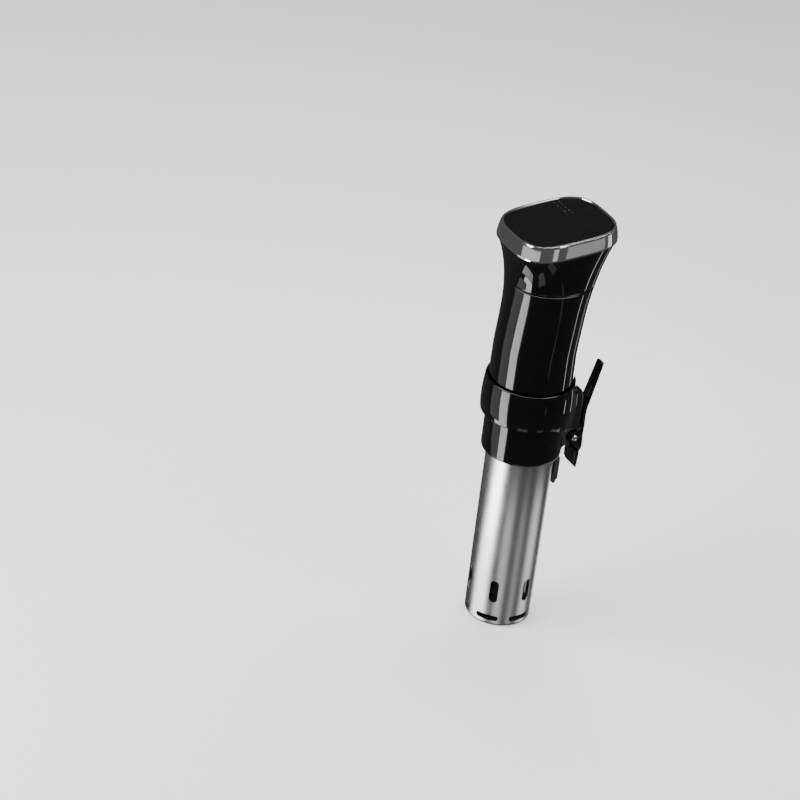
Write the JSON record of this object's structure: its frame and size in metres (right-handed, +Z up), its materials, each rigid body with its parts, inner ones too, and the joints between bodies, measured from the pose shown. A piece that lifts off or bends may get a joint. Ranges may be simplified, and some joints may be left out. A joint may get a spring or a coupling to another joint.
{
  "type": "sous vide circulator",
  "caption": "Immersion water circulator: steel sleeve with heater and pump below a round black motor body, tilted touch panel with a chrome band, and a sprung clamp for a vessel's rim.",
  "frame": {"origin": "centre of the fixed jaw pad's face, which meets the inside of a vessel's wall", "axes": "+Z up along the steel sleeve, +Y out of the jaw pad towards the clamp lever, +X completes the right-handed set, along the lever's pivot"},
  "size_m": [0.078, 0.1077, 0.3775],
  "materials": {
    "steel_sleeve": "brushed along the tube",
    "end_cap": "moulded",
    "pump_plate": "moulded",
    "guide_rods": "drawn",
    "heater": "annealed sheath",
    "probes": "drawn",
    "bulkhead": "moulded nylon",
    "seals": "moulded",
    "bush": "turned",
    "motor_steel": "zinc plated",
    "motor_mount": "die cast",
    "magnet": "bonded ferrite",
    "rotor": "enamelled copper winding",
    "fan": "moulded nylon",
    "impeller": "moulded",
    "shaft": "ground",
    "body": "polished black",
    "board_carrier": "moulded",
    "circuit_board": "solder mask",
    "transformer": "potted",
    "relay": "moulded",
    "metal_parts": "extruded",
    "chrome": "mirror polished",
    "window": "printed black behind a clear top",
    "jaw": "moulded",
    "pads": "moulded, ribbed",
    "pin": "polished ends",
    "spring": "music wire"
  },
  "bodies": {
    "housing": {"pump_plate": "pump_plate", "guide_rod_1": "guide_rods", "guide_rod_2": "guide_rods", "guide_rod_3": "guide_rods", "heater_coil": "heater", "temperature_probe": "probes", "level_rod_long": "probes", "level_rod_short": "probes", "bulkhead": "bulkhead", "sleeve_seal": "seals", "shaft_seal": "seals", "shaft_bush": "bush", "motor_mount": "motor_mount", "motor_screw_1": "motor_steel", "motor_screw_2": "motor_steel", "motor_screw_3": "motor_steel", "motor_end_plate": "motor_mount", "motor_can": "motor_steel", "motor_magnet": "magnet", "body_shell": "body", "cord_gland": "seals", "board_carrier": "board_carrier", "control_board": "circuit_board", "transformer": "transformer", "relay": "relay", "capacitor": "metal_parts", "heat_sink": "metal_parts", "head_shell": "body", "chrome_bezel": "chrome", "display_window": "window", "window_gasket": "seals", "touch_board": "circuit_board", "display_module": "metal_parts", "clamp_ring": "body", "fixed_jaw": "jaw", "jaw_pad": "pads", "pivot_pin": "pin", "torsion_spring": "spring"},
    "sleeve": {"steel_sleeve": "steel_sleeve", "end_cap": "end_cap"},
    "rotor": {"cooling_fan": "fan", "motor_rotor": "rotor", "shaft_coupling": "bush", "impeller_shaft": "shaft", "impeller": "impeller"},
    "lever": {"clamp_lever": "body", "lever_pad": "pads"}
  },
  "joints": [
    {"name": "lever_pivot", "type": "hinge", "parent": "housing", "child": "lever", "pos_m": [0, 0.0073, 0.0313], "axis": [1, 0, 0], "range_deg": [-24, 16], "stiffness_Nm_per_rad": 0.6, "springref_deg": -40.11, "deforming": ["torsion_spring"]},
    {"name": "rotor_spin", "type": "hinge", "parent": "housing", "child": "rotor", "pos_m": [0, -0.0364, 0.059], "axis": [0, 0, 1], "continuous": true},
    {"name": "sleeve_pull", "type": "slide", "parent": "housing", "child": "sleeve", "axis": [0, 0, -1], "range_m": [0, 0.17]}
  ]
}
